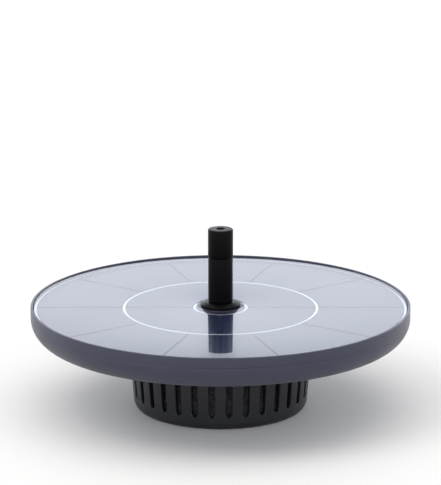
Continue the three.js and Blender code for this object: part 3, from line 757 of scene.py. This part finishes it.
def filter_sponge():
    """The sponge sleeve, its faces left slightly uneven as cut foam is."""
    rows = [i / 12 for i in range(1, 12)]
    height = SPONGE_TOP - SPONGE_LOW
    outline = [(SPONGE_BORE, SPONGE_LOW, 0.8), (SPONGE_RADIUS, SPONGE_LOW, 0.8)]
    outline += [(SPONGE_RADIUS, SPONGE_LOW + height * t, 0) for t in rows]
    outline += [(SPONGE_RADIUS, SPONGE_TOP, 0.8), (SPONGE_BORE, SPONGE_TOP, 0.8)]
    outline += [(SPONGE_BORE, SPONGE_TOP - height * t, 0) for t in rows]
    sleeve = turned("sponge_sleeve", outline, 256)
    middle = (SPONGE_BORE + SPONGE_RADIUS) / 2 * MM
    for vertex in sleeve.data.vertices:
        radius = math.hypot(vertex.co.x, vertex.co.y)
        dent = noise.noise(vertex.co * 300) * 0.12 + noise.noise(vertex.co * 900) * 0.08
        side = 1 if radius > middle else -1
        scale = (radius + side * (dent - 0.2) * MM) / radius
        vertex.co.x *= scale
        vertex.co.y *= scale
    finished(sleeve, "filter_cage", materials["sponge"], "sponge", "filter_sponge", sharp=60)


# ---- Pump ----
VOLUTE_RADIUS, CHAMBER_RADIUS, CAN_RADIUS = 15, 13.3, 12.6
CHAMBER_FRONT, CHAMBER_BACK, VOLUTE_BACK, CAN_BACK = -6, 4.5, 7, 25.5
MAGNET_WELL, WELL_BACK = 6.4, 20.6
STATOR_BORE, STATOR_ROOM = 7.3, 11.2
PLATE_TOP = WELL_ROOF - 0.2
PLATE_BOTTOM = PLATE_TOP - 2
PLATE_FRONT, PLATE_BACK, PLATE_SIDE, PLATE_CORNER = -18, 20.5, 20.5, 4
OUTLET_FOOT, OUTLET_TOP = AXIS_HEIGHT + 8, 42
OUTLET_RADIUS, OUTLET_BORE = 5.5, 3.9
RING_GROOVE, RING_LOW, RING_HIGH = 4.6, 39, 40.6
WEB_PLACES, WEB_THICK, WEB_SIDE = (-5.4, 15), 2, 9
SCREW_HOLE = 1.7


def volute_and_can():
    outline = [
        (0, CHAMBER_FRONT),
        (VOLUTE_RADIUS, CHAMBER_FRONT, 0.5),
        (VOLUTE_RADIUS, VOLUTE_BACK, 1.2),
        (CAN_RADIUS, VOLUTE_BACK + 1.5, 1.2),
        (CAN_RADIUS, CAN_BACK, 2.0),
        (0, CAN_BACK),
    ]
    return along_shaft(turned("pump_body", outline, 96, steps=5))


def mounting_plate():
    outline = []
    corners = [(PLATE_BACK, 1, 0), (PLATE_FRONT, 1, 90), (PLATE_FRONT, -1, 180), (PLATE_BACK, -1, 270)]
    for edge, side, start in corners:
        x = edge - math.copysign(PLATE_CORNER, edge)
        y = side * (PLATE_SIDE - PLATE_CORNER)
        turns = [math.radians(start + 15 * k) for k in range(7)]
        outline += [(x + PLATE_CORNER * math.cos(a), y + PLATE_CORNER * math.sin(a)) for a in turns]
    return eased(extruded("tool", outline, PLATE_BOTTOM, PLATE_TOP), 0.3)


def outlet_spigot():
    """The upright outlet, with a groove for its O-ring."""
    outline = [
        (0, OUTLET_FOOT),
        (OUTLET_RADIUS, OUTLET_FOOT),
        (OUTLET_RADIUS, RING_LOW, 0.05),
        (RING_GROOVE, RING_LOW, 0.05),
        (RING_GROOVE, RING_HIGH, 0.05),
        (OUTLET_RADIUS, RING_HIGH, 0.05),
        (OUTLET_RADIUS, OUTLET_TOP, 0.4),
        (0, OUTLET_TOP),
    ]
    return turned("tool", outline, 72)


def bayonet_hook(side):
    """An arm beside the volute whose slit holds a lug of the impeller cover."""
    near, far = sorted((side * (VOLUTE_RADIUS - 0.4), side * (VOLUTE_RADIUS + 4)))
    low = (CHAMBER_FRONT - 5.2, near, AXIS_HEIGHT - 3.2)
    high = (CHAMBER_FRONT + 2, far, AXIS_HEIGHT + 3.2)
    arm = block(low, high, 0.4)
    near, far = sorted((side * (VOLUTE_RADIUS - 1), side * (VOLUTE_RADIUS + 2.2)))
    low = (CHAMBER_FRONT - 3.6, near, AXIS_HEIGHT - 4)
    high = (CHAMBER_FRONT, far, AXIS_HEIGHT + 4)
    return combine(arm, "DIFFERENCE", block(low, high))


def pump_hollows():
    """The impeller's chamber with the outlet's bore, the magnet's well, and the stator's room round it."""
    chamber = along_shaft(rod(CHAMBER_RADIUS, CHAMBER_FRONT - 1, CHAMBER_BACK, 96))
    combine(chamber, "UNION", rod(OUTLET_BORE, AXIS_HEIGHT + 6, OUTLET_TOP + 1))
    magnet_well = along_shaft(rod(MAGNET_WELL, CHAMBER_BACK - 1, WELL_BACK))
    outline = [
        (STATOR_BORE, VOLUTE_BACK + 1.5),
        (STATOR_ROOM, VOLUTE_BACK + 1.5),
        (STATOR_ROOM, CAN_BACK + 1),
        (0, CAN_BACK + 1),
        (0, WELL_BACK + 1.1),
        (STATOR_BORE, WELL_BACK + 1.1),
    ]
    return [chamber, magnet_well, along_shaft(turned("tool", outline, 96, fillet=0))]


def pump_housing():
    body = volute_and_can()
    combine(body, "UNION", mounting_plate())
    combine(body, "UNION", outlet_spigot())
    for x in WEB_PLACES:
        low = (x, -WEB_SIDE, OUTLET_FOOT)
        web = block(low, (x + WEB_THICK, WEB_SIDE, PLATE_BOTTOM + 0.5))
        combine(body, "UNION", web)
    for side in (1, -1):
        combine(body, "UNION", bayonet_hook(side))
    tools = pump_hollows()
    for x, y in SCREW_PLACES:
        tools.append(shifted(rod(SCREW_HOLE, PLATE_BOTTOM - 1, PLATE_TOP + 1, 32), x, y))
    combine(body, "DIFFERENCE", *tools)
    finished(body, "float_body", materials["pump_plastic"], "pump_plastic", "pump_housing")


COVER_FACE = CHAMBER_FRONT - 0.3
COVER_FRONT = COVER_FACE - 2.8
COVER_RADIUS, INLET_RADIUS = VOLUTE_RADIUS - 1.2, 5
PLUG_OUTER, PLUG_INNER = CHAMBER_RADIUS - 0.4, CHAMBER_RADIUS - 2
CUP_BORE, CUP_RADIUS = 2.4, 3.4


def cover_disc():
    """The disc with the inlet, and behind it the ring that plugs the chamber and carries the O-ring."""
    outline = [
        (INLET_RADIUS, COVER_FRONT, 0.8),
        (COVER_RADIUS, COVER_FRONT, 0.8),
        (COVER_RADIUS, COVER_FACE, 0.2),
        (PLUG_OUTER, COVER_FACE, 0.1),
        (PLUG_OUTER, COVER_FACE + 0.6, 0.1),
        (PLUG_OUTER - 0.9, COVER_FACE + 0.6, 0.1),
        (PLUG_OUTER - 0.9, COVER_FACE + 1.7, 0.1),
        (PLUG_OUTER, COVER_FACE + 1.7, 0.1),
        (PLUG_OUTER, COVER_FACE + 2.1, 0.2),
        (PLUG_INNER, COVER_FACE + 2.1, 0.2),
        (PLUG_INNER, COVER_FACE, 0.1),
        (INLET_RADIUS, COVER_FACE, 0.3),
    ]
    return turned("bayonet_cover", outline, 96, steps=4)


def bush_cup():
    """The cup that holds the front bush in the middle of the inlet."""
    outline = [
        (CUP_BORE, COVER_FRONT, 0.3),
        (CUP_RADIUS, COVER_FRONT, 0.3),
        (CUP_RADIUS, COVER_FACE, 0.1),
        (CUP_BORE, COVER_FACE, 0.1),
    ]
    return turned("tool", outline, 48)


def impeller_cover():
    disc = cover_disc()
    combine(disc, "UNION", bush_cup())
    spoke = (2.9, -0.8, COVER_FRONT), (5.6, 0.8, COVER_FRONT + 1.6)
    lug = (-2.6, VOLUTE_RADIUS - 2.2, COVER_FACE - 1.9), (2.6, VOLUTE_RADIUS + 1.8, COVER_FACE)
    grip = (-1, 7.2, COVER_FRONT - 2.2), (1, 12.4, COVER_FRONT + 0.2)
    for angle in (0, 120, 240):
        combine(disc, "UNION", spun(block(*spoke, 0.2), angle))
    for angle in (0, 180):
        combine(disc, "UNION", spun(block(*lug, 0.25), angle))
    for angle in (90, 270):
        combine(disc, "UNION", spun(block(*grip, 0.4), angle))
    along_shaft(disc)
    finished(disc, "impeller_cover", materials["pump_plastic"], "pump_plastic", "impeller_cover")


def potting():
    """The black resin that closes the motor can, drawn up a little where it wets the wall."""
    low, high = (corner.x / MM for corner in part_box("potting_plug"))
    radius = STATOR_ROOM - 0.3
    rise = [(radius * t, high - 0.35 + 0.35 * t**6, 0) for t in (k / 12 for k in range(12, -1, -1))]
    plug = turned("potting_resin", [(0, low), (radius, low, 0.1), *rise], 96)
    along_shaft(plug)
    finished(plug, "float_body", materials["epoxy"], "epoxy", "potting_plug")


SHANK_RADIUS, HEAD_SIDE, HEAD_HEIGHT = 1.2, 2.3, 1.5
CROSS_REACH, CROSS_HALF, CROSS_DEPTH = 1.3, 0.3, 0.8


def pump_screws():
    """Pan-head screws with a cross recess, heads down under the mounting plate."""
    under = PLATE_BOTTOM - 0.1
    head = under - HEAD_HEIGHT
    tip = LEDGE - 1.3
    outline = [
        (0, head),
        (HEAD_SIDE - 0.6, head, 0.6),
        (HEAD_SIDE, head + 0.5, 0.4),
        (HEAD_SIDE, under, 0.1),
        (SHANK_RADIUS, under, 0),
        (SHANK_RADIUS, tip - 0.8, 0),
        (0, tip),
    ]
    for k, (x, y) in enumerate(SCREW_PLACES):
        screw = turned(f"pan_screw_{k + 1}", outline, 48)
        for wide, deep in ((CROSS_REACH, CROSS_HALF), (CROSS_HALF, CROSS_REACH)):
            combine(screw, "DIFFERENCE", block((-wide, -deep, head - 1), (wide, deep, head + CROSS_DEPTH)))
        shifted(screw, x, y)
        finished(screw, "float_body", materials["steel"], "steel", f"pump_screw_{k + 1}")


GLAND_STATION, GLAND_BASE = 20, CAN_RADIUS + 0.3
GLAND_TOP = GLAND_BASE + 2.4
LEAD_RADIUS, LEAD_BORE = 1.3, 1.6


def pump_lead():
    """The lead comes straight out of the motor can, bends up and goes straight through the well's roof."""
    exit_x, exit_y = LEAD_EXIT
    route = [
        (GLAND_STATION, GLAND_BASE + 0.2, AXIS_HEIGHT),
        (GLAND_STATION, GLAND_TOP + 0.4, AXIS_HEIGHT),
        (GLAND_STATION + 0.8, GLAND_TOP + 2, AXIS_HEIGHT + 2.6),
        (GLAND_STATION + 2.4, GLAND_TOP + 1.2, AXIS_HEIGHT + 7),
        (exit_x - 0.4, exit_y + 1.4, WELL_ROOF - 6),
        (exit_x, exit_y, WELL_ROOF - 2),
        (exit_x, exit_y, ROOF_TOP + 0.8),
    ]
    lead = tube("motor_lead", route, LEAD_RADIUS)
    finished(lead, "float_body", materials["rubber"], "rubber", "pump_lead", sharp=60)


def lead_gland():
    outline = [
        (LEAD_BORE, GLAND_BASE),
        (3, GLAND_BASE, 0.4),
        (2.4, GLAND_TOP, 0.5),
        (LEAD_BORE, GLAND_TOP, 0.2),
    ]
    gland = turned("lead_boot", outline, 48, steps=4)
    shifted(spun(gland, -90, "X"), GLAND_STATION, 0, AXIS_HEIGHT)
    finished(gland, "float_body", materials["rubber"], "rubber", "lead_gland")


def lead_grommet():
    """The rubber ring in the well's roof, with a groove that holds the roof's edge."""
    lip, waist = 3.6, 2.45
    outline = [
        (LEAD_BORE, WELL_ROOF - 0.9, 0.2),
        (lip, WELL_ROOF - 0.9, 0.4),
        (lip, WELL_ROOF - 0.1, 0.1),
        (waist, WELL_ROOF - 0.1, 0.1),
        (waist, ROOF_TOP + 0.1, 0.1),
        (lip, ROOF_TOP + 0.1, 0.1),
        (lip, ROOF_TOP + 0.7, 0.3),
        (LEAD_BORE, ROOF_TOP + 0.7, 0.2),
    ]
    grommet = shifted(turned("roof_grommet", outline, 48), *LEAD_EXIT)
    finished(grommet, "float_body", materials["rubber"], "rubber", "lead_grommet")


def inner_parts():
    """Parts that stay as the CAD model has them, each in the material of its slot."""
    replaced = {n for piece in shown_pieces() for n in piece.get("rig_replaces", [])}
    for entry in frame["record"]["subparts"]:
        if entry["node"] in replaced:
            continue
        node = frame["nodes"][entry["node"]]
        node.data.materials.clear()
        node.data.materials.append(materials[entry["material_slot"]])


# ---- Surroundings, in metres ----
VIEW_ELEVATION = 15.8  # of the camera above the disc, in degrees
VIEW_DISTANCE = 1.42
AIM_HEIGHT = 0.071
FLOOR_RADIUS = 14
FLOOR_TONES = ((0.61, 0.60, 0.575, 1), (0.63, 0.62, 0.595, 1))
KEY_PLACE, KEY_AIM, KEY_SIDE, KEY_RADIANCE = (-1.3, -0.6, 1.9), (0, 0, 0.04), 1.2, 3.2
SKY_STRENGTH = 2.55
SKY = [  # colours by height, from 0 at the horizon to 1 overhead
    (0.0, (0.62, 0.64, 0.71)),
    (0.22, (0.66, 0.68, 0.76)),
    (0.38, (0.90, 0.93, 1.0)),
    (0.72, (0.17, 0.17, 0.18)),
]


def camera():
    angle = math.radians(VIEW_ELEVATION)
    disc = Vector((0, 0, PANEL_TOP * MM))
    eye = disc + Vector((0, -math.cos(angle), math.sin(angle))) * VIEW_DISTANCE
    data = bpy.data.cameras.new("camera")
    data.lens = 250
    data.clip_end = 50
    holder = bpy.data.objects.new("camera", data)
    holder.location = eye
    holder.rotation_euler = (Vector((0, 0, AIM_HEIGHT)) - eye).to_track_quat("-Z", "Y").to_euler()
    bpy.context.scene.collection.objects.link(holder)
    bpy.context.scene.camera = holder


def floor():
    g = Graph("pale_floor")
    clouds = g.noise(3, 2)
    g.link(g.mixed(clouds, *FLOOR_TONES), g.shader.inputs["Base Color"])
    g.set(Roughness=0.7, Specular_IOR_Level=0.2)
    bm = bmesh.new()
    bmesh.ops.create_circle(bm, cap_ends=True, segments=96, radius=FLOOR_RADIUS)
    ground = as_object("floor", bm)
    ground.data.materials.append(g.material)
    ground.location.z = -0.0002
    ground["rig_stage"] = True


def softbox(name, place, aim, side, radiance):
    """A square lamp of even brightness that the camera doesn't see."""
    data = bpy.data.lights.new(name, "AREA")
    data.size = side
    data.energy = radiance * math.pi * side**2
    lamp = bpy.data.objects.new(name, data)
    lamp.location = place
    lamp.rotation_euler = (Vector(aim) - Vector(place)).to_track_quat("-Z", "Y").to_euler()
    lamp.visible_camera = False
    bpy.context.scene.collection.objects.link(lamp)


def sky():
    """Pale lavender, brightest a little above the horizon, where the panel mirrors it."""
    world = bpy.data.worlds.new("studio")
    bpy.context.scene.world = world
    world.use_nodes = True
    tree = world.node_tree
    background = tree.nodes["Background"]
    background.inputs["Strength"].default_value = SKY_STRENGTH
    direction = tree.nodes.new("ShaderNodeTexCoord").outputs["Generated"]
    split = tree.nodes.new("ShaderNodeSeparateXYZ")
    ramp = tree.nodes.new("ShaderNodeValToRGB")
    ramp.color_ramp.interpolation = "EASE"
    stops = ramp.color_ramp.elements
    for stop, (height, color) in zip([*stops, *(stops.new(0.5) for _ in SKY[2:])], SKY):
        stop.position = height
        stop.color = (*color, 1)
    tree.links.new(direction, split.inputs["Vector"])
    tree.links.new(split.outputs["Z"], ramp.inputs["Fac"])
    tree.links.new(ramp.outputs["Color"], background.inputs["Color"])


def lights():
    sky()
    softbox("key", KEY_PLACE, KEY_AIM, KEY_SIDE, KEY_RADIANCE)


# ---- Assembly ----
camera()
float_shell()
foam_float()
panel_board()
bus_rings()
solar_cells()
panel_cover()
nozzle_base()
riser_tube()
spray_head()
filter_cage()
filter_sponge()
pump_housing()
impeller_cover()
potting()
pump_screws()
pump_lead()
lead_gland()
lead_grommet()
inner_parts()
floor()
lights()
bpy.context.scene.view_settings.view_transform = "Standard"
